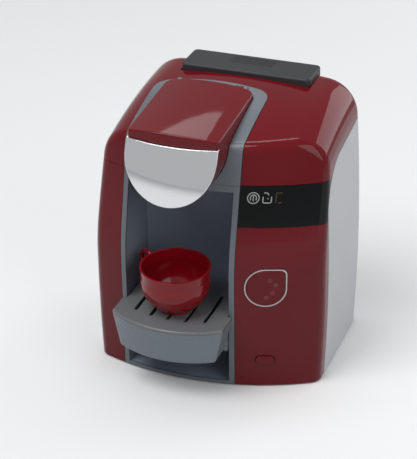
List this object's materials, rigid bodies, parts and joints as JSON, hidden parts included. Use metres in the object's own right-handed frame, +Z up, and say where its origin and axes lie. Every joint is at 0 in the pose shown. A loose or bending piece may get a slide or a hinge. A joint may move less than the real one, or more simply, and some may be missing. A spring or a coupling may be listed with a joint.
{
  "type": "toy coffee maker",
  "caption": "Toy capsule coffee maker with a hinged lid over a pod, a drip tray set at two heights, a cup, press buttons, a power switch and a lift-out water tank.",
  "frame": {"origin": "middle of the overall footprint, on the surface the machine stands on", "axes": "+Z up, +X to the right as seen from the front, -Y towards the user (the front)"},
  "size_m": [0.1784, 0.168, 0.2177],
  "materials": {
    "shell_red": "high gloss, pearl red",
    "display_black": "high gloss",
    "frame_grey": "satin",
    "tray_grey": "satin, silvery",
    "niche_dark": "satin",
    "housing_grey": "satin",
    "base_dark": "fine texture",
    "chrome_plate": "mirror plated plastic",
    "pod_white": "smooth",
    "steel": "zinc plated",
    "button_satin": "satin",
    "lens_red": "clear tinted red",
    "inner_grey": "plain",
    "rubber_pad": "matt",
    "board_green": "solder mask",
    "speaker_black": "plain",
    "tank_smoke": "smoke tinted",
    "battery_sleeve": "printed sleeve"
  },
  "bodies": {
    "machine": {"front_shell_left": "shell_red", "front_shell_right": "shell_red", "top_cover": "shell_red", "brew_hood": "shell_red", "display_panel": "display_black", "niche_frame": "frame_grey", "lid_surround": "frame_grey", "tray_rails": "niche_dark", "niche_liner": "niche_dark", "rear_housing": "housing_grey", "base_plate": "base_dark", "battery_door": "base_dark", "chrome_front": "chrome_plate", "start_ring": "chrome_plate", "pod_holder": "niche_dark", "coffee_pod": "pod_white", "spout": "niche_dark", "lid_hinge_pins": "steel", "button_guides": "inner_grey", "contact_pads": "rubber_pad", "circuit_board": "board_green", "board_screws": "steel", "indicator_leds": "lens_red", "speaker": "speaker_black", "switch_body": "speaker_black", "tank_bay": "niche_dark", "base_screws": "steel", "battery_door_screw": "steel", "battery_box": "base_dark", "batteries": "battery_sleeve", "battery_contacts": "steel"},
    "lid_assembly": {"lid": "shell_red", "lid_liner": "niche_dark"},
    "tray_assembly": {"drip_tray": "frame_grey", "tray_grille": "tray_grey"},
    "loose_cup": {"cup": "shell_red"},
    "start_key": {"start_button": "button_satin", "light_lenses": "lens_red"},
    "sound_key": {"sound_button": "button_satin"},
    "tank_assembly": {"water_tank": "tank_smoke", "tank_lid": "base_dark"},
    "switch_knob": {"power_switch_knob": "speaker_black"}
  },
  "joints": [
    {"name": "lid_hinge", "type": "hinge", "parent": "machine", "child": "lid_assembly", "pos_m": [-0.018, 0.0325, 0.2122], "axis": [-1, 0, 0], "range_deg": [0, 70]},
    {"name": "tray_slide", "type": "slide", "parent": "machine", "child": "tray_assembly", "axis": [0, 0, 1], "range_m": [-0.0285, 0]},
    {"name": "cup_slide", "type": "slide", "parent": "tray_assembly", "child": "loose_cup", "axis": [0, -1, 0], "range_m": [0, 0.078]},
    {"name": "start_button_press", "type": "slide", "parent": "machine", "child": "start_key", "axis": [-0.3487, 0.9372, 0], "range_m": [0, 0.0015], "stiffness_N_per_m": 350, "springref_m": -0.001},
    {"name": "sound_button_press", "type": "slide", "parent": "machine", "child": "sound_key", "axis": [-0.3487, 0.9372, 0], "range_m": [0, 0.0015], "stiffness_N_per_m": 350, "springref_m": -0.001},
    {"name": "tank_lift", "type": "slide", "parent": "machine", "child": "tank_assembly", "axis": [0, 0, 1], "range_m": [0, 0.06]},
    {"name": "power_switch_slide", "type": "slide", "parent": "machine", "child": "switch_knob", "axis": [0, 0, 1], "range_m": [0, 0.0045]}
  ]
}
